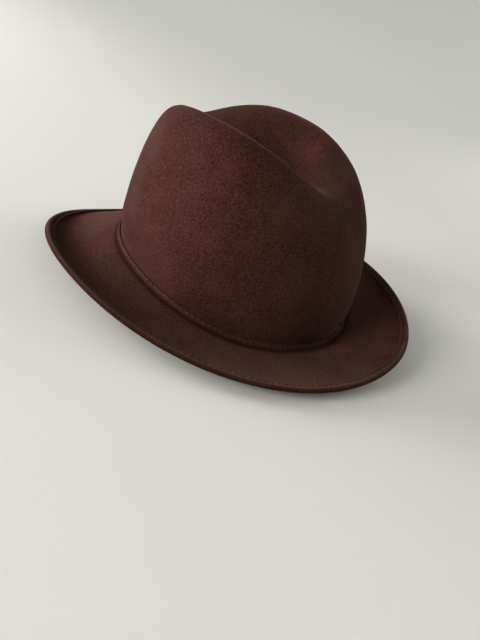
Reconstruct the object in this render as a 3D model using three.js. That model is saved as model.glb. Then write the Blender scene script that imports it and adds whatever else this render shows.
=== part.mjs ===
// A soft felt trilby: a creased crown, a brim sewn round its foot, and a turned welt along the
// brim's edge. It lies as a felt hat does on a table, on its snapped front and the back of its foot.
// The front looks along -Y, the wearer's left is +X and up is +Z. Lengths are in millimetres and
// angles in degrees. The origin is on the table, under the middle of the hat.
import * as THREE from 'three';

// Sizes of the crown, measured outside
const FOOT_LENGTH = 194;
const FOOT_WIDTH = 179;
const CROWN_HEIGHT = 111;
const RIDGE_FRONT = 74;
const RIDGE_BACK = 52;
const RIDGE_HALF_WIDTH = 58;
const RIDGE_SHIFT_LEFT = 1.5;
const RIDGE_SHIFT_FORWARD = 1.2;
const CROWN_LEAN = 5.5;
const DENT_DEPTH = 38;

// Sizes of the brim, the collar that stands up round the crown's foot, and the turned edge
const BRIM_WIDTH = 50.5;
const COLLAR_HEIGHT = 4.5;
const COLLAR_THICKNESS = 1.2;
const WELT_WIDTH = 6.5;
const WELT_THICKNESS = 1.6;

// The felt, the gap where two pieces touch, the height over which the crown swells out above its
// collar, and how deep the felt gives way where it lies on the table
const FELT_THICKNESS = 2;
const SEAM_GAP = 0.3;
const SWELL_HEIGHT = 15;
const PRESSED_DEPTH = 1.5;

// Forms: how square the foot's oval and the wall's curve are, how far the wall bows out, how much
// wider the crest is in front than behind, how the crease is turned from the hat's axis, how hard
// the dent falls from its ridge, how roundly its floor rises to its two ends, and where across the
// brim its dish is deepest
const FOOT_SQUARENESS = 2.13;
const WALL_SQUARENESS = 1.98;
const WALL_BOW = 0.03;
const CREST_TAPER = 0.05;
const CREASE_TURN = 15;
const DENT_SHARPNESS = 3.2;
const FLOOR_ROUNDNESS = 1.6;
const DISH_PLACE = 1.4;

// Mesh: columns round the hat, and rows up, over and across it
const COLUMNS = 72;
const SWELL_ROWS = 3;
const WALL_ROWS = 11;
const DENT_ROWS = 7;
const BRIM_ROWS = 9;
const WELT_ROWS = 2;
const SETTLING_PASSES = 12;
const SAME_DIRECTION = 1e-9;

// The form by direction, counted from the front towards the wearer's left. crest and foot are
// heights as shares of CROWN_HEIGHT, slope is the brim's angle above level, and dish is its sag
// below a straight line from foot to edge, as a share of BRIM_WIDTH.
const DIRECTIONS = [
  { name: 'front', crest: 0.79, foot: -0.021, slope: -37, dish: -0.04 },
  { name: 'front left', crest: 0.925, foot: 0.0, slope: -13, dish: 0.11 },
  { name: 'left', crest: 1.005, foot: 0.021, slope: 8.5, dish: 0.12 },
  { name: 'back left', crest: 0.925, foot: 0.0, slope: 13.5, dish: 0.05 },
  { name: 'back', crest: 0.8, foot: -0.022, slope: 18, dish: 0.03 },
  { name: 'back right', crest: 0.905, foot: 0.0, slope: 17.5, dish: 0.05 },
  { name: 'right', crest: 0.997, foot: 0.021, slope: 6, dish: 0.11 },
  { name: 'front right', crest: 0.94, foot: 0.0, slope: -23.5, dish: 0.05 },
];

const UP = new THREE.Vector3(0, 0, 1);
const WHOLE_TURN = 2 * Math.PI;
const HALF_TURN = Math.PI;
const QUARTER_TURN = Math.PI / 2;

// A power that keeps the sign of its base
function signedPower(base, power) {
  return Math.sign(base) * Math.abs(base) ** power;
}

// A smooth step from 0 to 1
function ease(share) {
  const held = THREE.MathUtils.clamp(share, 0, 1);
  return held * held * (3 - 2 * held);
}

// One column of the table at any direction, on a smooth closed curve through all its rows
function byDirection(column, angle) {
  const count = DIRECTIONS.length;
  let value = 0;
  for (let index = 0; index < count; index += 1) {
    const away = angle - (WHOLE_TURN * index) / count;
    const onRow = Math.abs(Math.sin(away / 2)) < SAME_DIRECTION;
    const weight = onRow ? 1 : Math.sin((count * away) / 2) / (count * Math.tan(away / 2));
    value += weight * DIRECTIONS[index][column];
  }
  return value;
}

// A point of the foot's oval, where crown and brim break
function footPoint(angle) {
  const power = 2 / FOOT_SQUARENESS;
  return new THREE.Vector3(
    (FOOT_WIDTH / 2) * signedPower(Math.sin(angle), power),
    (-FOOT_LENGTH / 2) * signedPower(Math.cos(angle), power),
    CROWN_HEIGHT * byDirection('foot', angle),
  );
}

// The level direction straight out of the foot's oval
function outward(angle) {
  const step = HALF_TURN / COLUMNS;
  const along = footPoint(angle + step).sub(footPoint(angle - step));
  return new THREE.Vector3(along.y, -along.x, 0).normalize();
}

// A point of the crest, the closed ridge round the dent, before the crown leans
function crestPoint(angle) {
  const reach = Math.cos(angle) > 0 ? RIDGE_FRONT : RIDGE_BACK;
  const point = new THREE.Vector3(
    RIDGE_HALF_WIDTH * Math.sin(angle) * (1 + CREST_TAPER * Math.cos(angle)),
    -reach * Math.cos(angle),
    CROWN_HEIGHT * byDirection('crest', angle),
  );
  point.applyAxisAngle(UP, THREE.MathUtils.degToRad(CREASE_TURN));
  point.x += RIDGE_SHIFT_LEFT;
  point.y -= RIDGE_SHIFT_FORWARD;
  return point;
}

// The crown leans forward evenly with height
function lean(point) {
  point.y -= (CROWN_LEAN * Math.max(point.z, 0)) / CROWN_HEIGHT;
  return point;
}

// A point of the crown's wall, where turn runs from 0 at the foot to a quarter turn at the crest
function wallPoint(angle, turn) {
  const foot = footPoint(angle);
  const crest = crestPoint(angle);
  const power = 2 / WALL_SQUARENESS;
  const out = Math.max(Math.cos(turn), 0) ** power;
  const rise = Math.sin(turn) ** power;
  const spread = out * (1 + WALL_BOW * rise);
  return lean(new THREE.Vector3(
    crest.x + (foot.x - crest.x) * spread,
    crest.y + (foot.y - crest.y) * spread,
    foot.z + (crest.z - foot.z) * rise,
  ));
}

// The wall's turn at a height above the foot
function turnAtHeight(angle, height) {
  const full = crestPoint(angle).z - footPoint(angle).z;
  return Math.asin((height / full) ** (WALL_SQUARENESS / 2));
}

// The crown's own wall, drawn in behind its collar and swelling to full size above it
function crownWallPoint(angle, turn) {
  const point = wallPoint(angle, turn);
  const height = point.z - footPoint(angle).z;
  const swell = ease((height - COLLAR_HEIGHT) / (SWELL_HEIGHT - COLLAR_HEIGHT));
  const inset = (COLLAR_THICKNESS + SEAM_GAP) * (1 - swell);
  return point.addScaledVector(outward(angle), -inset);
}

// A point inside the crest, where share runs from 0 on the ridge to 1 in the middle. The dent's
// floor is a trough that rises to the crest at its front and back ends.
function dentPoint(angle, share) {
  const crest = crestPoint(angle);
  const middle = new THREE.Vector3(RIDGE_SHIFT_LEFT, -RIDGE_SHIFT_FORWARD, 0);
  const point = crest.clone().lerp(middle, share);
  const toFront = Math.cos(angle) > 0;
  const end = crestPoint(toFront ? 0 : HALF_TURN).z;
  const lowest = CROWN_HEIGHT - DENT_DEPTH;
  const along = Math.cos(angle) * (1 - share);
  const floor = lowest + (end - lowest) * Math.abs(along) ** FLOOR_ROUNDNESS;
  const fallen = 1 - (1 - share * share) ** DENT_SHARPNESS;
  point.z = crest.z + (floor - crest.z) * fallen;
  return lean(point);
}

// A point on top of the brim, where share runs from 0 at the foot to 1 at the felt's cut edge
function brimPoint(angle, share) {
  const reach = BRIM_WIDTH - WELT_THICKNESS - SEAM_GAP;
  const slope = THREE.MathUtils.degToRad(byDirection('slope', angle));
  const sag = byDirection('dish', angle) * BRIM_WIDTH * Math.sin(HALF_TURN * share ** DISH_PLACE);
  const point = footPoint(angle);
  point.addScaledVector(outward(angle), reach * share * Math.cos(slope));
  point.z += reach * share * Math.sin(slope) - sag;
  return point;
}

// A ring of points, one for each column
function ringOf(pointAt) {
  return Array.from({ length: COLUMNS }, (_, column) => pointAt((WHOLE_TURN * column) / COLUMNS));
}

// Rows of rings, from first to last step of a share
function ringsOf(steps, pointAt) {
  return Array.from({ length: steps + 1 }, (_, step) => ringOf((angle) => pointAt(angle, step / steps)));
}

// The unit normal at one place of a sheet of rings that run outwards or downwards
function normalAt(rings, row, column) {
  const before = rings[Math.max(row - 1, 0)][column];
  const after = rings[Math.min(row + 1, rings.length - 1)][column];
  const left = rings[row][(column + 1) % COLUMNS];
  const right = rings[row][(column + COLUMNS - 1) % COLUMNS];
  const across = after.clone().sub(before);
  return across.cross(left.clone().sub(right)).normalize();
}

// The same sheet moved along its normals
function offsetRings(rings, distance) {
  return rings.map((ring, row) => ring.map((point, column) => (
    point.clone().addScaledVector(normalAt(rings, row, column), distance)
  )));
}

// A closed body from rings: each is joined to the next, and the last is either joined to the
// first, or both end rings are closed by a point in their middle
function bodyFromRings(rings, joinsUp) {
  const places = rings.flat().flatMap((point) => [point.x, point.y, point.z]);
  const faces = [];
  const spans = joinsUp ? rings.length : rings.length - 1;
  for (let row = 0; row < spans; row += 1) {
    const here = row * COLUMNS;
    const there = ((row + 1) % rings.length) * COLUMNS;
    for (let column = 0; column < COLUMNS; column += 1) {
      const next = (column + 1) % COLUMNS;
      faces.push(here + column, there + column, here + next);
      faces.push(here + next, there + column, there + next);
    }
  }
  if (!joinsUp) {
    const ends = [rings[0], rings[rings.length - 1]];
    ends.forEach((ring, end) => {
      const middle = ring.reduce((sum, point) => sum.add(point), new THREE.Vector3()).divideScalar(COLUMNS);
      const hub = places.length / 3;
      const start = end === 0 ? 0 : (rings.length - 1) * COLUMNS;
      places.push(middle.x, middle.y, middle.z);
      for (let column = 0; column < COLUMNS; column += 1) {
        const next = start + ((column + 1) % COLUMNS);
        faces.push(hub, ...(end === 0 ? [start + column, next] : [next, start + column]));
      }
    });
  }
  const geometry = new THREE.BufferGeometry();
  geometry.setAttribute('position', new THREE.Float32BufferAttribute(places, 3));
  geometry.setIndex(faces);
  geometry.computeVertexNormals();
  return geometry;
}

// Crown, outside: from near the middle of the dent over the ridge and down to the foot
function crownOutside() {
  const dent = ringsOf(DENT_ROWS, (angle, share) => dentPoint(angle, 1 - share)).slice(1, -1);
  const wall = ringsOf(WALL_ROWS, (angle, share) => {
    const low = turnAtHeight(angle, SWELL_HEIGHT);
    return crownWallPoint(angle, QUARTER_TURN + (low - QUARTER_TURN) * share);
  });
  const swell = ringsOf(SWELL_ROWS, (angle, share) => {
    const height = SWELL_HEIGHT + (COLLAR_HEIGHT - SWELL_HEIGHT) * share;
    return crownWallPoint(angle, turnAtHeight(angle, height));
  }).slice(1);
  const foot = ringOf((angle) => crownWallPoint(angle, 0));
  const hem = ringOf((angle) => {
    const point = crownWallPoint(angle, 0);
    point.z -= FELT_THICKNESS - SEAM_GAP;
    return point;
  });
  return [...dent, ...wall, ...swell, foot, hem];
}

// Brim, top: the whole width from the foot to the felt's cut edge
function brimTop() {
  return ringsOf(BRIM_ROWS, brimPoint);
}

// Brim, underneath: straight below the foot at its inner edge, so that the crown fits inside
function brimUnderside(rings) {
  const sheet = offsetRings(rings, -FELT_THICKNESS);
  sheet[0] = rings[0].map((point) => point.clone().addScaledVector(UP, -FELT_THICKNESS));
  return sheet;
}

// Collar: the brim's inner edge, turned up round the crown's foot. Its two upper corners and the
// corner below them, in that order.
function collarRings(underside) {
  const high = (angle) => wallPoint(angle, turnAtHeight(angle, COLLAR_HEIGHT));
  const inwards = (point, angle) => point.addScaledVector(outward(angle), -COLLAR_THICKNESS);
  return {
    outerTop: ringOf(high),
    innerTop: ringOf((angle) => inwards(high(angle), angle)),
    innerFoot: underside[0].map((point, column) => (
      inwards(point.clone(), (WHOLE_TURN * column) / COLUMNS)
    )),
  };
}

// The lowest of some points
function lowestOf(points) {
  return points.reduce((low, point) => (point.z < low.z ? point : low));
}

// How the hat tips when it is laid down: until it stands on the lowest point of each front
// quarter and the lowest point of its back half
function layingTurn(points) {
  const total = new THREE.Quaternion();
  for (let pass = 0; pass < SETTLING_PASSES; pass += 1) {
    const turned = points.map((point) => point.clone().applyQuaternion(total));
    const frontLeft = lowestOf(turned.filter((point) => point.y < 0 && point.x >= 0));
    const frontRight = lowestOf(turned.filter((point) => point.y < 0 && point.x < 0));
    const back = lowestOf(turned.filter((point) => point.y >= 0));
    const level = frontRight.clone().sub(back).cross(frontLeft.clone().sub(back)).normalize();
    total.premultiply(new THREE.Quaternion().setFromUnitVectors(level, UP));
  }
  return total;
}

// Welt: a strip of felt over the brim's cut edge, its inner edge and outer corner rounded
function weltRings(top) {
  const last = top.length - 1;
  const reach = BRIM_WIDTH - WELT_THICKNESS - SEAM_GAP;
  const flange = WELT_WIDTH - WELT_THICKNESS - SEAM_GAP;
  const lipDrop = FELT_THICKNESS - 2 * SEAM_GAP;
  const full = SEAM_GAP + WELT_THICKNESS;
  const round = SEAM_GAP + WELT_THICKNESS * Math.SQRT1_2;
  const normals = top.map((ring, row) => ring.map((_, column) => normalAt(top, row, column)));
  const place = (back, out, up) => top[last].map((edge, column) => {
    const steps = (back / reach) * last;
    const row = Math.min(Math.floor(last - steps), last - 1);
    const share = last - steps - row;
    const point = top[row][column].clone().lerp(top[row + 1][column], share);
    const normal = normals[row][column].clone().lerp(normals[row + 1][column], share).normalize();
    const along = edge.clone().sub(top[last - 1][column]).normalize();
    point.addScaledVector(normal, up).addScaledVector(along, out);
    point.z = Math.max(point.z, SEAM_GAP);
    return point;
  });
  const under = [];
  const over = [];
  for (let row = 0; row < WELT_ROWS; row += 1) {
    const back = flange * (1 - row / WELT_ROWS);
    under.push(place(back, 0, SEAM_GAP));
    over.unshift(place(row === 0 ? back - WELT_THICKNESS / 2 : back, 0, full));
  }
  return [
    ...under,
    place(0, SEAM_GAP, SEAM_GAP),
    place(0, SEAM_GAP, -lipDrop),
    place(0, full, -lipDrop),
    place(0, full, 0),
    place(0, round, round),
    place(0, 0, full),
    ...over,
    place(flange, 0, round),
  ];
}

// The pieces in the hat's own frame
const crownOuter = crownOutside();
const crownInner = offsetRings(crownOuter, -FELT_THICKNESS);
const top = brimTop();
const underside = brimUnderside(top);
const collar = collarRings(underside);

// The hat is tipped and let down until its lowest felt is pressed flat
const laying = layingTurn(underside.flat());
const everyRing = [
  ...crownOuter, ...crownInner, ...top, ...underside,
  collar.outerTop, collar.innerTop, collar.innerFoot,
];
everyRing.flat().forEach((point) => point.applyQuaternion(laying));
const table = lowestOf(underside.flat()).z + PRESSED_DEPTH;
everyRing.flat().forEach((point) => {
  point.z -= table;
});

// Where the underside meets the table, the brim lies flat and keeps its thickness
underside.forEach((ring, row) => ring.forEach((point, column) => {
  const lift = Math.max(-point.z, 0);
  point.z += lift;
  top[row][column].z += lift;
  if (row === 0) {
    collar.outerTop[column].z += lift;
    collar.innerTop[column].z += lift;
    collar.innerFoot[column].z = Math.max(collar.innerFoot[column].z, 0);
  }
}));
[...crownOuter, ...crownInner].flat().forEach((point) => {
  point.z = Math.max(point.z, 0);
});

// A named piece of brown felt
function feltPiece(name, geometry, color) {
  const material = new THREE.MeshStandardMaterial({ color, roughness: 0.95, metalness: 0 });
  const piece = new THREE.Mesh(geometry, material);
  piece.name = name;
  return piece;
}

const crown = feltPiece(
  'crown',
  bodyFromRings([...crownOuter, ...crownInner.toReversed()], false),
  0x4d322b,
);
const brim = feltPiece(
  'brim',
  bodyFromRings(
    [collar.innerTop, collar.outerTop, ...top, ...underside.toReversed(), collar.innerFoot],
    true,
  ),
  0x55382f,
);
const edgeWelt = feltPiece('edge_welt', bodyFromRings(weltRings(top).toReversed(), true), 0x5c3e35);

const trilby = new THREE.Group();
trilby.add(crown, brim, edgeWelt);
const middle = new THREE.Box3().setFromObject(trilby).getCenter(new THREE.Vector3());
trilby.position.set(-middle.x, -middle.y, 0);

export default trilby;
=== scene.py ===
# %% [markdown]
# # A soft felt trilby
# This lesson dresses the solids of a felt hat until they look like felt. The solids come from the
# imported frame, in metres: `crown`, `brim` and `edge_welt`. The hat's front looks along -Y, the wearer's
# left is +X, and it lies on a table at height zero. First comes the frame itself, because every piece is
# set against it.

# %% Load the frame
import math
import random
from collections import namedtuple

import bmesh
import bpy
from mathutils import Matrix, Vector
from mathutils.bvhtree import BVHTree
from mathutils.kdtree import KDTree


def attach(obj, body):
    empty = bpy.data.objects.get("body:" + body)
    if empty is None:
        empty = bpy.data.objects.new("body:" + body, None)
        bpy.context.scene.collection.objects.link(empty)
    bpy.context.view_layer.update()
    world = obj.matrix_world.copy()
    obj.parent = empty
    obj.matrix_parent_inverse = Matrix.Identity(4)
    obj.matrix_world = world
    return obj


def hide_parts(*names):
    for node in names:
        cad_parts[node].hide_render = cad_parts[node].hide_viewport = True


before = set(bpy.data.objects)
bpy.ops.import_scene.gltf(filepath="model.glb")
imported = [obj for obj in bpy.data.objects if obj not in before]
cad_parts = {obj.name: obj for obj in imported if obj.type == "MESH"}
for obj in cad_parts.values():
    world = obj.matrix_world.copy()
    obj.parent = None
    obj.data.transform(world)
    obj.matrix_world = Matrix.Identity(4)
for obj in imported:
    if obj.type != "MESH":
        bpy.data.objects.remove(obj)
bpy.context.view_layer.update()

# %% [markdown]
# ## The camera
# The picture was taken from behind the wearer's left shoulder, a little above the hat, with the hat
# tipped in the frame. A camera could be aimed with a constraint, but here its three axes are built
# from a compass direction, a height and a roll, which are easy to read and to change.

# %% Place the camera
MM = 0.001
UP = Vector((0, 0, 1))
CAMERA_PLACE = Vector((279.6, 238.3, 157.3)) * MM
CAMERA_COMPASS = math.radians(52.25)
CAMERA_HEIGHT = math.radians(26.67)
CAMERA_ROLL = math.radians(20.37)
LENS = 27.56
SENSOR_WIDTH = 36.0

back = Vector((
    math.sin(CAMERA_COMPASS) * math.cos(CAMERA_HEIGHT),
    math.cos(CAMERA_COMPASS) * math.cos(CAMERA_HEIGHT),
    math.sin(CAMERA_HEIGHT),
))
level_right = UP.cross(back).normalized()
level_up = back.cross(level_right)
right = level_right * math.cos(CAMERA_ROLL) + level_up * math.sin(CAMERA_ROLL)
up = level_up * math.cos(CAMERA_ROLL) - level_right * math.sin(CAMERA_ROLL)

camera_data = bpy.data.cameras.new("camera")
camera_data.lens = LENS
camera_data.sensor_width = SENSOR_WIDTH
camera = bpy.data.objects.new("camera", camera_data)
bpy.context.scene.collection.objects.link(camera)
camera_turn = Matrix((right, up, back)).transposed().to_4x4()
camera.matrix_world = Matrix.Translation(CAMERA_PLACE) @ camera_turn
bpy.context.scene.camera = camera
print("camera at", tuple(round(value, 3) for value in CAMERA_PLACE))

# %% [markdown]
# ## Working by hand in code
# Blender's operators act on whatever is selected and active, just as in the window. Two small
# helpers keep that tidy: one makes an object the only selected one, and one names it and gives it
# its material. A third makes a piece straight from corners and faces, for stitches and hairs, of
# which there are too many to handle as single objects.

# %% Helpers for selecting, naming and making
def work_on(piece):
    bpy.ops.object.select_all(action="DESELECT")
    piece.select_set(True)
    bpy.context.view_layer.objects.active = piece


def name_piece(piece, name, material):
    piece.name = name
    piece.data.name = name
    piece.data.materials.clear()
    piece.data.materials.append(material)


def piece_of(name, corners, faces, material, slot):
    mesh = bpy.data.meshes.new(name)
    mesh.from_pydata(corners, [], faces)
    piece = bpy.data.objects.new(name, mesh)
    bpy.context.scene.collection.objects.link(piece)
    work_on(piece)
    bpy.ops.object.shade_smooth()
    name_piece(piece, name, material)
    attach(piece, "root")
    print(name, len(faces), "faces")


print("helpers", work_on.__name__, name_piece.__name__, piece_of.__name__)

# %% [markdown]
# ## Table and backdrop
# A plain pale table that sweeps up all round like a wide shallow bowl shows no horizon line, so the
# rolled camera shows no tilted edge. It starts as a disc whose rim is extruded outwards and upwards,
# step by step, along a quarter circle, and ends in a short upright wall.

# %% Sweep the table up into a backdrop
TABLE_RADIUS = 1.2
TABLE_SIDES = 96
SWEEP_RADIUS = 7.0
SWEEP_STEPS = 18

bpy.ops.mesh.primitive_circle_add(vertices=TABLE_SIDES, radius=TABLE_RADIUS, fill_type="NGON")
backdrop = bpy.context.object
work_on(backdrop)
bpy.ops.object.mode_set(mode="EDIT")
bpy.ops.mesh.select_all(action="SELECT")
bpy.ops.mesh.select_mode(type="EDGE")
bpy.ops.mesh.region_to_loop()
reach = TABLE_RADIUS
height = 0.0
for step in range(1, SWEEP_STEPS + 1):
    angle = step / SWEEP_STEPS * math.pi / 2
    next_reach = TABLE_RADIUS + SWEEP_RADIUS * math.sin(angle)
    next_height = SWEEP_RADIUS * (1 - math.cos(angle))
    bpy.ops.mesh.extrude_edges_move(
        TRANSFORM_OT_translate={"value": (0, 0, next_height - height)}
    )
    scale = next_reach / reach
    bpy.ops.transform.resize(value=(scale, scale, 1), center_override=(0, 0, 0))
    reach, height = next_reach, next_height
bpy.ops.mesh.extrude_edges_move(TRANSFORM_OT_translate={"value": (0, 0, SWEEP_RADIUS)})
bpy.ops.mesh.select_all(action="SELECT")
bpy.ops.mesh.normals_make_consistent(inside=True)
bpy.ops.object.mode_set(mode="OBJECT")
bpy.ops.object.shade_smooth()
print("backdrop rises to", round(height + SWEEP_RADIUS, 2), "m")

# %% [markdown]
# ## Pale paper
# The lamps stand near the hat, so the far paper would fall dark, where a real room lights its own
# walls. More lamps would spoil the shadows on the hat. Instead the paper glows very faintly, by more
# the further it lies from the hat, and not at all near it.

# %% Colour the paper
PAPER_COLOR = (0.735, 0.735, 0.715, 1)
PAPER_ROUGHNESS = 0.9
GLOW_COLOR = (1.0, 0.995, 0.97, 1)
GLOW_START = 0.6
GLOW_END = 4.0
GLOW = 0.15


def paper_material():
    paper = bpy.data.materials.new("pale_paper")
    paper.use_nodes = True
    tree = paper.node_tree
    shader = tree.nodes["Principled BSDF"]
    shader.inputs["Base Color"].default_value = PAPER_COLOR
    shader.inputs["Roughness"].default_value = PAPER_ROUGHNESS
    shader.inputs["Emission Color"].default_value = GLOW_COLOR
    place = tree.nodes.new("ShaderNodeTexCoord")
    distance = tree.nodes.new("ShaderNodeVectorMath")
    distance.operation = "LENGTH"
    glow = tree.nodes.new("ShaderNodeMapRange")
    glow.interpolation_type = "SMOOTHSTEP"
    glow.inputs["From Min"].default_value = GLOW_START
    glow.inputs["From Max"].default_value = GLOW_END
    glow.inputs["To Max"].default_value = GLOW
    tree.links.new(place.outputs["Object"], distance.inputs[0])
    tree.links.new(distance.outputs["Value"], glow.inputs["Value"])
    tree.links.new(glow.outputs["Result"], shader.inputs["Emission Strength"])
    return paper


name_piece(backdrop, "backdrop", paper_material())
print("paper on", backdrop.name)

# %% [markdown]
# ## Light
# The hat is lit by a bank of soft windows on the picture's left, hardly higher than the hat, with a
# weak pale wall opposite them and a dim room that fills the shadows. Lights are placed by how far
# they stand round to the side of the camera and by their height above level, because that is how one
# walks round a table with a lamp. The view's look adds contrast, as a small camera does by itself.

# %% Hang the lights
HAT_MIDDLE = Vector((0, 0, 0.06))
LAMP_DISTANCE = 2.6
LAMP_COLOR = (1.0, 0.985, 0.96)
ROOM_COLOR = (1.0, 0.99, 0.97, 1)
ROOM_LIGHT = 0.09
level_back = Vector((back.x, back.y, 0)).normalized()


def soft_light(name, round_to_right, height, size, power):
    data = bpy.data.lights.new(name, "AREA")
    data.shape = "DISK"
    data.size = size
    data.energy = power
    data.color = LAMP_COLOR
    lamp = bpy.data.objects.new(name, data)
    bpy.context.scene.collection.objects.link(lamp)
    side, rise = math.radians(round_to_right), math.radians(height)
    level = level_back * math.cos(side) + level_right * math.sin(side)
    away = level * math.cos(rise) + Vector((0, 0, math.sin(rise)))
    lamp.location = HAT_MIDDLE + away * LAMP_DISTANCE
    lamp.rotation_euler = away.to_track_quat("Z", "Y").to_euler()
    lamp.visible_camera = False
    print(name, "light", power, "W")


soft_light("front_window", round_to_right=-46, height=16, size=1.2, power=50)
soft_light("side_window", round_to_right=-92, height=15, size=1.2, power=42)
soft_light("back_window", round_to_right=-118, height=18, size=1.2, power=8)
soft_light("far_wall", round_to_right=125, height=26, size=1.6, power=14)

world = bpy.data.worlds.new("room")
world.use_nodes = True
world.node_tree.nodes["Background"].inputs["Color"].default_value = ROOM_COLOR
world.node_tree.nodes["Background"].inputs["Strength"].default_value = ROOM_LIGHT
bpy.context.scene.world = world
bpy.context.scene.view_settings.view_transform = "Standard"
bpy.context.scene.view_settings.look = "Medium High Contrast"

# %% [markdown]
# ## Felt
# Wool felt is a mat of fine crimped fibres. From near it has a mottled grain of about a millimetre, from
# further off soft clouds of lighter and darker brown, and along its outline a faint sheen where fibres
# stand out. The shader follows that: two noises mix the colour, two more make the bump, and the sheen is
# a constant on the shader itself. Shade is painted into the colour as a darker brown in folds, in the
# seam's channel and on the edge strip's outer face. A painted highlight makes some upward faces paler.
# The pieces carry both in an attribute of their corners, as red and green.

# %% Mix the felt
FELT_ROUGHNESS = 0.92
FELT_SHINE = 0.06
SHEEN_ROUGHNESS = 0.45
SHEEN_TINT = (1.0, 0.68, 0.58, 1)
PAINTED_SHADE_COLOR = (0.008, 0.0022, 0.0015)
PAINTED_HIGHLIGHT_COLOR = (0.20, 0.11, 0.09)
PAINTED_LIGHT_ATTRIBUTE = "painted_light"
# Each noise is given as its scale, detail and roughness.
GRAIN_NOISE = (900, 4, 0.7)
CLOUD_NOISE = (38, 3, 0.5)
CLOUD_SHARE = 0.2
FIBRE_NOISE = (1500, 5, 0.7)
TUFT_NOISE = (420, 3, 0.6)
TUFT_SHARE = 0.45
BUMP_STRENGTH = 0.55
BUMP_DISTANCE = 0.0006


def felt_material(name, dark, light, spread, sheen):
    """Felt of two browns. The smaller the spread, the harder they stand apart."""
    material = bpy.data.materials.new(name)
    material.use_nodes = True
    tree = material.node_tree
    shader = tree.nodes["Principled BSDF"]
    shader.inputs["Roughness"].default_value = FELT_ROUGHNESS
    shader.inputs["Specular IOR Level"].default_value = FELT_SHINE
    shader.inputs["Sheen Weight"].default_value = sheen
    shader.inputs["Sheen Roughness"].default_value = SHEEN_ROUGHNESS
    shader.inputs["Sheen Tint"].default_value = SHEEN_TINT
    place = tree.nodes.new("ShaderNodeTexCoord")

    def noise(scale, detail, roughness):
        node = tree.nodes.new("ShaderNodeTexNoise")
        node.inputs["Scale"].default_value = scale
        node.inputs["Detail"].default_value = detail
        node.inputs["Roughness"].default_value = roughness
        tree.links.new(place.outputs["Object"], node.inputs["Vector"])
        return node.outputs["Fac"]

    def blend(first, second, share):
        node = tree.nodes.new("ShaderNodeMix")
        node.inputs["Factor"].default_value = share
        tree.links.new(first, node.inputs["A"])
        tree.links.new(second, node.inputs["B"])
        return node.outputs["Result"]

    def tint(color, share, toward):
        node = tree.nodes.new("ShaderNodeMix")
        node.data_type = "RGBA"
        node.inputs["B"].default_value = (*toward, 1)
        tree.links.new(share, node.inputs["Factor"])
        tree.links.new(color, node.inputs["A"])
        return node.outputs["Result"]

    ramp = tree.nodes.new("ShaderNodeValToRGB")
    ramp.color_ramp.elements[0].position = 0.5 - spread
    ramp.color_ramp.elements[0].color = (*dark, 1)
    ramp.color_ramp.elements[1].position = 0.5 + spread
    ramp.color_ramp.elements[1].color = (*light, 1)
    mottle = blend(noise(*GRAIN_NOISE), noise(*CLOUD_NOISE), CLOUD_SHARE)
    tree.links.new(mottle, ramp.inputs["Fac"])

    painted_light = tree.nodes.new("ShaderNodeAttribute")
    painted_light.attribute_name = PAINTED_LIGHT_ATTRIBUTE
    parts = tree.nodes.new("ShaderNodeSeparateColor")
    tree.links.new(painted_light.outputs["Color"], parts.inputs["Color"])
    # Painted shade darkens the colour where the attribute is red, and a painted highlight pales it where
    # it is green.
    with_painted_shade = tint(ramp.outputs["Color"], parts.outputs["Red"], PAINTED_SHADE_COLOR)
    with_painted_highlight = tint(with_painted_shade, parts.outputs["Green"], PAINTED_HIGHLIGHT_COLOR)
    tree.links.new(with_painted_highlight, shader.inputs["Base Color"])

    nap = blend(noise(*FIBRE_NOISE), noise(*TUFT_NOISE), TUFT_SHARE)
    bump = tree.nodes.new("ShaderNodeBump")
    bump.inputs["Strength"].default_value = BUMP_STRENGTH
    bump.inputs["Distance"].default_value = BUMP_DISTANCE
    tree.links.new(nap, bump.inputs["Height"])
    tree.links.new(bump.outputs["Normal"], shader.inputs["Normal"])
    return material


# The brim and the turned edge are the same felt as the crown. Their lighter browns are painted light, for
# the up-facing brim that catches more of the lamps.
crown_finish = felt_material(
    "crown_finish", dark=(0.037, 0.0135, 0.0102), light=(0.069, 0.0310, 0.0240), spread=0.06, sheen=0.08
)
brim_felt_painted_lighter = felt_material(
    "brim_felt_painted_lighter", dark=(0.048, 0.0180, 0.0138), light=(0.090, 0.0410, 0.0320), spread=0.07, sheen=0.08
)
edge_felt_painted_lighter = felt_material(
    "edge_felt_painted_lighter", dark=(0.048, 0.0185, 0.0142), light=(0.092, 0.0425, 0.0335), spread=0.08, sheen=0.10
)
print("felts", crown_finish.name, brim_felt_painted_lighter.name, edge_felt_painted_lighter.name)

# %% [markdown]
# ## Smooth felt from faceted solids
# Each solid already has the felt's true form and thickness, in flat facets. Modelling it again
# would risk a different hat, so a copy of its mesh is merged, turned back into four-sided faces and
# smoothed by a Subdivision Surface modifier, which also softens the cut edges as scissors do.
# Smoothing draws a tight curve inwards, and a ridge pinched by hand has to keep its height. So the
# crown's corners are first pushed out by as much as the smoothing would take from them.

# %% Copy, merge and smooth
MERGE_DISTANCE = 0.00001
QUAD_BEND = math.radians(60)
QUAD_SKEW = math.radians(80)
SMOOTH_LEVELS = 2


def merged_copy(node, name):
    piece = bpy.data.objects.new(name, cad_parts[node].data.copy())
    bpy.context.scene.collection.objects.link(piece)
    work_on(piece)
    bpy.ops.mesh.customdata_custom_splitnormals_clear()
    bpy.ops.object.mode_set(mode="EDIT")
    bpy.ops.mesh.select_all(action="SELECT")
    bpy.ops.mesh.remove_doubles(threshold=MERGE_DISTANCE)
    bpy.ops.mesh.tris_convert_to_quads(face_threshold=QUAD_BEND, shape_threshold=QUAD_SKEW)
    bpy.ops.object.mode_set(mode="OBJECT")
    return piece


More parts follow.
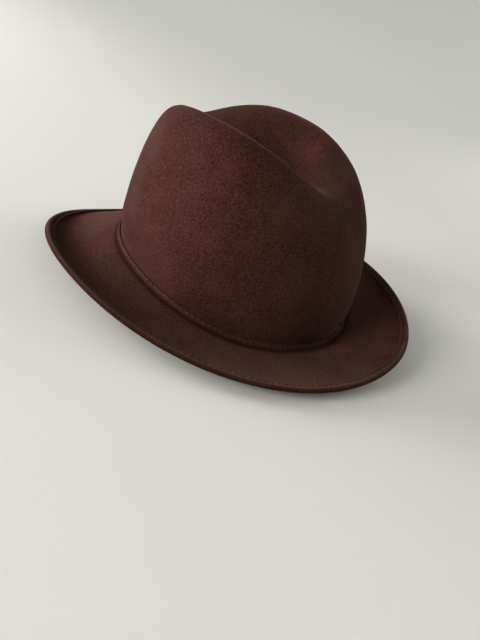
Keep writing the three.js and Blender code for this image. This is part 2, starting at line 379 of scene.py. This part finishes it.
def smooth(piece, held_above=None, tries=3):
    modifier = piece.modifiers.new("smooth", "SUBSURF")
    modifier.levels = SMOOTH_LEVELS
    modifier.render_levels = SMOOTH_LEVELS
    corners = [vertex.co.copy() for vertex in piece.data.vertices]
    for _ in range(tries if held_above is not None else 0):
        shown = piece.evaluated_get(bpy.context.evaluated_depsgraph_get()).data
        lost = [corner - shown.vertices[index].co for index, corner in enumerate(corners)]
        for index, vertex in enumerate(piece.data.vertices):
            if corners[index].z > held_above:
                vertex.co += lost[index]
        piece.data.update()
    work_on(piece)
    bpy.ops.object.modifier_apply(modifier=modifier.name)


def finish_felt(piece, name, node, material):
    work_on(piece)
    bpy.ops.object.shade_smooth()
    name_piece(piece, name, material)
    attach(piece, "root")
    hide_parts(node)
    print(name, len(piece.data.polygons), "faces")


print("felt is smoothed", SMOOTH_LEVELS, "times")

# %% [markdown]
# ## The crown
# The crown is blocked from one cone of felt: steamed, pulled over a block and pinched. Its surface
# is never quite even, so after smoothing a Displace modifier with a soft cloud texture moves it by a
# few tenths of a millimetre. Its foot stays where it is, because it fits inside the brim's collar.

# %% Make the crown
HELD_ABOVE = 0.03
UNEVEN = 0.0007
UNEVEN_SIZE = 0.03
UNEVEN_DEPTH = 2

crown = merged_copy("crown", "crown_shell")
smooth(crown, held_above=HELD_ABOVE)
above_foot = crown.vertex_groups.new(name="above_foot")
for vertex in crown.data.vertices:
    share = (vertex.co.z - HELD_ABOVE / 2) / HELD_ABOVE
    above_foot.add([vertex.index], max(0.0, min(1.0, share)), "REPLACE")
clouds = bpy.data.textures.new("blocked_felt", "CLOUDS")
clouds.noise_scale = UNEVEN_SIZE
clouds.noise_depth = UNEVEN_DEPTH
loosen = crown.modifiers.new("loosen", "DISPLACE")
loosen.texture = clouds
loosen.texture_coords = "LOCAL"
loosen.strength = UNEVEN
loosen.mid_level = 0.5
loosen.vertex_group = above_foot.name
bpy.ops.object.modifier_apply(modifier=loosen.name)
crown.vertex_groups.clear()
finish_felt(crown, "crown_shell", "crown", crown_finish)

# %% [markdown]
# ## The brim
# The brim is a flat sheet pressed into its snap and curl, with a low collar turned up round the
# crown's foot. Its solid already dishes as the photo shows, so it is only smoothed.

# %% Make the brim
brim = merged_copy("brim", "brim_sheet")
smooth(brim)
finish_felt(brim, "brim_sheet", "brim", brim_felt_painted_lighter)

# %% [markdown]
# ## Columns of the solids
# Seams follow the hat round, so their places are read from the solids. Seen from above, the corners
# of the welt and of the brim stand in columns, one every few degrees. Sorting them by compass
# direction gives those columns without any list of points. A tree of a seam's places then tells
# which stitch any corner of the felt lies nearest to.

# %% Read the columns
COLUMNS = 72
WELT_CORNERS = 11
BRIM_CORNERS = 23
COLLAR_CORNERS = 5


def columns_of(node, corners):
    mesh = bmesh.new()
    mesh.from_mesh(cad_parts[node].data)
    bmesh.ops.remove_doubles(mesh, verts=mesh.verts, dist=MERGE_DISTANCE)
    places = [vertex.co.copy() for vertex in mesh.verts]
    mesh.free()
    half_step = math.pi / COLUMNS
    places.sort(key=lambda place: (math.atan2(place.x, -place.y) + half_step) % (2 * math.pi))
    columns = [places[start:start + corners] for start in range(0, len(places), corners)]
    return [sorted(column, key=lambda place: place.xy.length) for column in columns]


def round_the_hat(path, pitch):
    """Evenly spaced places on a closed path, each with the direction along it."""
    spans = [(path[index], path[(index + 1) % len(path)]) for index in range(len(path))]
    around = sum((end - start).length for start, end in spans)
    count = round(around / pitch)
    step, walked, places = around / count, 0.0, []
    for start, end in spans:
        length = (end - start).length
        while len(places) < count and len(places) * step < walked + length:
            share = (len(places) * step - walked) / length
            places.append((start.lerp(end, share), (end - start).normalized()))
        walked += length
    return places


def tree_of(seam):
    tree = KDTree(len(seam))
    for index, (point, _, _) in enumerate(seam):
        tree.insert(point, index)
    tree.balance()
    return tree


welt_columns = columns_of("edge_welt", WELT_CORNERS)
brim_columns = columns_of("brim", BRIM_CORNERS)
print("columns", len(welt_columns), len(brim_columns))

# %% [markdown]
# ## The turned edge
# A strip of felt is folded over the brim's cut edge and sewn down near its inner side. The strip is
# smoothed and cut finer along its length, so that it has enough corners to take the seam. The seam's
# places are then found on its upper face.

# %% Fold the strip and find its seam
SEAM_SHARE = 0.27
SEAM_LIFT = Vector((0, 0, 0.002))
STITCH_PITCH = 0.0044
LENGTHWISE = 0.8
LENGTHWISE_CUTS = 2


def runs_round(edge):
    start, end = (vertex.co for vertex in edge.verts)
    around = UP.cross(start.xy.to_3d()).normalized()
    return abs((start - end).normalized().dot(around)) > LENGTHWISE


welt = merged_copy("edge_welt", "turned_edge")
smooth(welt)
mesh = bmesh.new()
mesh.from_mesh(welt.data)
lengthwise = [edge for edge in mesh.edges if runs_round(edge)]
bmesh.ops.subdivide_edges(mesh, edges=lengthwise, cuts=LENGTHWISE_CUTS, use_grid_fill=True)
mesh.to_mesh(welt.data)
mesh.free()

seam_path = [column[0].lerp(column[-1], SEAM_SHARE) + SEAM_LIFT for column in welt_columns]
welt_surface = BVHTree.FromObject(welt, bpy.context.evaluated_depsgraph_get())
seam = []
for place, along in round_the_hat(seam_path, STITCH_PITCH):
    point, normal, _, _ = welt_surface.find_nearest(place)
    seam.append((point, along, normal))
print("stitches along the edge", len(seam))

# %% [markdown]
# ## Pressing the seam
# The thread draws the felt in, so the seam lies in a shallow channel that is deepest where the thread
# goes through, between one stitch and the next. A bump map would be flat at the outline, so the strip's
# own corners are pressed down. The same loop paints light and shade into the colour: painted shade in the
# channel and its holes and on the strip's outer face, and a painted highlight, a little paler, on the
# band between them where it faces up.

# %% Press the channel and paint its light and shade
CHANNEL_DEPTH = 0.0005
CHANNEL_WIDTH = 0.0011
DIMPLE_SHARE = 0.5
HOLE_WIDTH = 0.0011
SEAM_REACH = 2 * STITCH_PITCH
FACING_UP = 0.3
CHANNEL_SHADE = 0.2
HOLE_SHADE = 0.6
EDGE_SHADE = 0.65
PAINTED_HIGHLIGHT = 0.08

seam_tree = tree_of(seam)
facing = [vertex.normal.copy() for vertex in welt.data.vertices]
welt_painted_light = welt.data.attributes.new(PAINTED_LIGHT_ATTRIBUTE, "FLOAT_COLOR", "POINT")
for vertex in welt.data.vertices:
    _, index, distance = seam_tree.find(vertex.co)
    point, along, normal = seam[index]
    offset = vertex.co - point
    outwards = max(0.0, facing[vertex.index].dot(vertex.co.xy.to_3d().normalized()))
    # Painted shade: the strip's outer face is darkened.
    welt_painted_light.data[vertex.index].color = (EDGE_SHADE * outwards, 0.0, 0.0, 1.0)
    upwards = facing[vertex.index].dot(normal)
    if distance > SEAM_REACH or upwards < FACING_UP:
        continue
    outside = offset.dot(point.xy.to_3d().normalized()) > 0
    forward = offset.dot(along)
    across = (offset - along * forward).length
    press = math.exp(-(across / CHANNEL_WIDTH) ** 2)
    to_hole = abs(abs(forward) - STITCH_PITCH / 2)
    hole = math.exp(-(to_hole / HOLE_WIDTH) ** 2)
    depth = CHANNEL_DEPTH * (1 - DIMPLE_SHARE + 2 * DIMPLE_SHARE * hole)
    vertex.co -= normal * depth * press
    # Painted highlight: outside the seam the felt is paler the more it faces up. Painted shade: the
    # channel and its holes are darkened.
    highlight = PAINTED_HIGHLIGHT * upwards * (1 - press) if outside else 0.0
    shade = max(EDGE_SHADE * outwards, press * (CHANNEL_SHADE + HOLE_SHADE * hole))
    welt_painted_light.data[vertex.index].color = (shade, highlight, 0.0, 1.0)
finish_felt(welt, "turned_edge", "edge_welt", edge_felt_painted_lighter)

# %% [markdown]
# ## Stitches
# The thread is brown cotton, about as dark as the felt. One stitch is modelled by hand: a small
# ball, drawn long and sunk at both ends. Its copies are set along the seam, each turned the way the
# seam runs there, and joined into one piece, because hundreds of objects would be slow to handle.
# The same fine twist of light and dark does for thread, for single wool hairs and for lint.

# %% Model one stitch and sew the seams
THREAD_RADIUS = 0.00032
STITCH_LENGTH = 0.0034
STITCH_SIDES = 8
STITCH_RINGS = 6
STITCH_SINK = 0.6
EDGE_THREAD_COLOR = (0.06, 0.024, 0.018)
THREAD_ROUGHNESS = 0.7
TWIST_SCALE = 2500
TWIST_START = 0.35
TWIST_END = 0.65
TWIST_DARK = 0.6
TWIST_BUMP = 0.0001


def thread_material(name, color):
    material = bpy.data.materials.new(name)
    material.use_nodes = True
    tree = material.node_tree
    shader = tree.nodes["Principled BSDF"]
    shader.inputs["Roughness"].default_value = THREAD_ROUGHNESS
    place = tree.nodes.new("ShaderNodeTexCoord")
    twist = tree.nodes.new("ShaderNodeTexNoise")
    twist.inputs["Scale"].default_value = TWIST_SCALE
    tree.links.new(place.outputs["Object"], twist.inputs["Vector"])
    ramp = tree.nodes.new("ShaderNodeValToRGB")
    ramp.color_ramp.elements[0].position = TWIST_START
    ramp.color_ramp.elements[0].color = (*(TWIST_DARK * value for value in color), 1)
    ramp.color_ramp.elements[1].position = TWIST_END
    ramp.color_ramp.elements[1].color = (*color, 1)
    tree.links.new(twist.outputs["Fac"], ramp.inputs["Fac"])
    tree.links.new(ramp.outputs["Color"], shader.inputs["Base Color"])
    bump = tree.nodes.new("ShaderNodeBump")
    bump.inputs["Distance"].default_value = TWIST_BUMP
    tree.links.new(twist.outputs["Fac"], bump.inputs["Height"])
    tree.links.new(bump.outputs["Normal"], shader.inputs["Normal"])
    return material


def one_stitch(length, radius):
    bpy.ops.object.select_all(action="DESELECT")
    bpy.ops.mesh.primitive_uv_sphere_add(
        segments=STITCH_SIDES, ring_count=STITCH_RINGS, radius=radius
    )
    stitch = bpy.context.object
    bpy.ops.object.mode_set(mode="EDIT")
    bpy.ops.mesh.select_all(action="SELECT")
    bpy.ops.transform.rotate(
        value=math.pi / 2, orient_axis="Y", orient_type="GLOBAL", center_override=(0, 0, 0)
    )
    bpy.ops.transform.resize(value=(length / (2 * radius), 1, 1), center_override=(0, 0, 0))
    bpy.ops.object.mode_set(mode="OBJECT")
    for vertex in stitch.data.vertices:
        vertex.co.z -= radius * (2 * vertex.co.x / length) ** 2
    return stitch


def sew(name, stitch, seam, material, slot):
    corners, faces = [], []
    for point, along, normal in seam:
        side = normal.cross(along).normalized()
        turn = Matrix((side.cross(normal), side, normal)).transposed()
        first = len(corners)
        corners += [point + turn @ vertex.co for vertex in stitch.data.vertices]
        faces += [[first + index for index in face.vertices] for face in stitch.data.polygons]
    bpy.data.objects.remove(stitch)
    piece_of(name, corners, faces, material, slot)


edge_thread = thread_material("edge_thread", EDGE_THREAD_COLOR)
sunk = [(point - normal * CHANNEL_DEPTH * STITCH_SINK, along, normal) for point, along, normal in seam]
sew("edge_stitches", one_stitch(STITCH_LENGTH, THREAD_RADIUS), sunk, edge_thread, "welt_felt")

# %% [markdown]
# ## The collar's seam
# Where crown and brim meet, the photo shows a fine line with small pale specks along the top of the
# brim's collar: hand stitches that hold the crown. They are shorter and finer than the ones on the edge,
# with more felt between them. Their places are found on the smoothed brim, just below the collar's upper
# edge. Shade is painted into the brim's colour as a dark band in the fold at the collar's foot.

# %% Sew the collar
COLLAR_PITCH = 0.0042
COLLAR_DROP = 0.25
OUTWARDS = 0.002
COLLAR_STITCH_LENGTH = 0.0014
COLLAR_THREAD_RADIUS = 0.00025
COLLAR_THREAD_COLOR = (0.10, 0.045, 0.034)
FOLD_AT = 0.0035
FOLD_WIDTH = 0.0016
FOLD_SHADE = 0.8

collar_path = []
for column in brim_columns:
    near = sorted(column[:COLLAR_CORNERS], key=lambda place: place.z)
    rim = max(near[-2:], key=lambda place: place.xy.length)
    collar_path.append(rim.lerp(near[-3], COLLAR_DROP))
brim_surface = BVHTree.FromObject(brim, bpy.context.evaluated_depsgraph_get())
collar_seam = []
for place, along in round_the_hat(collar_path, COLLAR_PITCH):
    outside = place + place.xy.normalized().to_3d() * OUTWARDS
    point, normal, _, _ = brim_surface.find_nearest(outside)
    collar_seam.append((point, along, normal))
collar_thread = thread_material("collar_thread", COLLAR_THREAD_COLOR)
collar_stitch = one_stitch(COLLAR_STITCH_LENGTH, COLLAR_THREAD_RADIUS)
sew("collar_stitches", collar_stitch, collar_seam, collar_thread, "brim_felt")

# Painted shade: a dark band is painted into the brim's colour along the fold at the collar's foot.
collar_tree = tree_of(collar_seam)
brim_painted_shade = brim.data.attributes.new(PAINTED_LIGHT_ATTRIBUTE, "FLOAT_COLOR", "POINT")
for vertex in brim.data.vertices:
    _, _, distance = collar_tree.find(vertex.co)
    shade = math.exp(-((distance - FOLD_AT) / FOLD_WIDTH) ** 2)
    brim_painted_shade.data[vertex.index].color = (FOLD_SHADE * shade, 0.0, 0.0, 1.0)

# %% [markdown]
# ## Nap and lint
# Felt is never bare: short hairs stand out of it all over, which soften its outline, and a few
# longer pale fibres of lint lie on it. A hair could be a curve with a bevel, but thousands of them
# are lighter as plain three-sided spikes. Each one starts upright and bends over to one side. Their
# places are picked at random by area, from a fixed seed, so that the hat is the same every time.
# None grow where the felt lies on the table, because they would stick through it.

# %% Shape a hair
Hair = namedtuple("Hair", "length rise radius steps")
CROWN_HAIR = Hair(length=0.0011, rise=0.9, radius=0.00005, steps=2)
BRIM_HAIR = Hair(length=0.0010, rise=0.9, radius=0.00005, steps=2)
LINT = Hair(length=0.0050, rise=0.08, radius=0.00010, steps=5)
SIDES = ((0, 1), (1, 2), (2, 0))
SIDE_ANGLES = (0, 2 * math.pi / 3, 4 * math.pi / 3)


def hair_corners(root, normal, lean, length, form):
    """Corners of one pointed hair, ring by ring, with its tip last."""
    side = normal.cross(lean)
    corners = []
    for step in range(form.steps):
        share = step / form.steps
        middle = root + (normal * form.rise * share + lean * share ** 2) * length
        width = form.radius * (1 - share)
        for angle in SIDE_ANGLES:
            corners.append(middle + (lean * math.cos(angle) + side * math.sin(angle)) * width)
    return corners + [root + (normal * form.rise + lean) * length]


def hair_faces(first, form):
    faces = []
    for step in range(form.steps - 1):
        ring = first + 3 * step
        faces += [[ring + a, ring + b, ring + b + 3, ring + a + 3] for a, b in SIDES]
    ring = first + 3 * (form.steps - 1)
    return faces + [[ring + a, ring + b, ring + 3] for a, b in SIDES]


print("a hair has", len(hair_faces(0, CROWN_HAIR)), "faces and a fibre of lint", len(hair_faces(0, LINT)))

# %% [markdown]
# ## Growing the hairs
# Each hair stands on a triangle of the felt, at a random place in it, and leans in a random
# direction along the surface. Lint only lies where the felt faces up.

# %% Grow the nap and drop the lint
NAP_SEED = 11
TABLE_GAP = 0.0003
FACES_UP = 0.5
SHORTEST = 0.5
CROWN_HAIRS = 14000
BRIM_HAIRS = 8000
EDGE_HAIRS = 5000
LINT_FIBRES = 5
NAP_COLOR = (0.10, 0.048, 0.038)
LINT_COLOR = (0.42, 0.36, 0.32)
chance = random.Random(NAP_SEED)


def grow(name, felt, count, form, material, slot, only_up=False):
    felt.data.calc_loop_triangles()
    triangles = [
        one for one in felt.data.loop_triangles
        if one.center.z > form.length + TABLE_GAP and (not only_up or one.normal.z > FACES_UP)
    ]
    areas = [one.area for one in triangles]
    corners, faces = [], []
    for patch in chance.choices(triangles, weights=areas, k=count):
        a, b, c = (felt.data.vertices[index].co for index in patch.vertices)
        along_b, along_c = chance.random(), chance.random()
        if along_b + along_c > 1:
            along_b, along_c = 1 - along_b, 1 - along_c
        root = a + (b - a) * along_b + (c - a) * along_c - patch.normal * form.radius
        across = (b - a).normalized()
        turn = chance.uniform(0, 2 * math.pi)
        lean = across * math.cos(turn) + patch.normal.cross(across) * math.sin(turn)
        length = form.length * chance.uniform(SHORTEST, 1.0)
        faces += hair_faces(len(corners), form)
        corners += hair_corners(root, patch.normal, lean, length, form)
    piece_of(name, corners, faces, material, slot)


nap_wool = thread_material("nap_wool", NAP_COLOR)
pale_lint = thread_material("pale_lint", LINT_COLOR)
grow("crown_nap", crown, CROWN_HAIRS, CROWN_HAIR, nap_wool, "crown_felt")
grow("brim_nap", brim, BRIM_HAIRS, BRIM_HAIR, nap_wool, "brim_felt")
grow("edge_nap", welt, EDGE_HAIRS, BRIM_HAIR, nap_wool, "welt_felt")
grow("crown_lint", crown, LINT_FIBRES, LINT, pale_lint, "crown_felt", only_up=True)
grow("brim_lint", brim, LINT_FIBRES, LINT, pale_lint, "brim_felt", only_up=True)
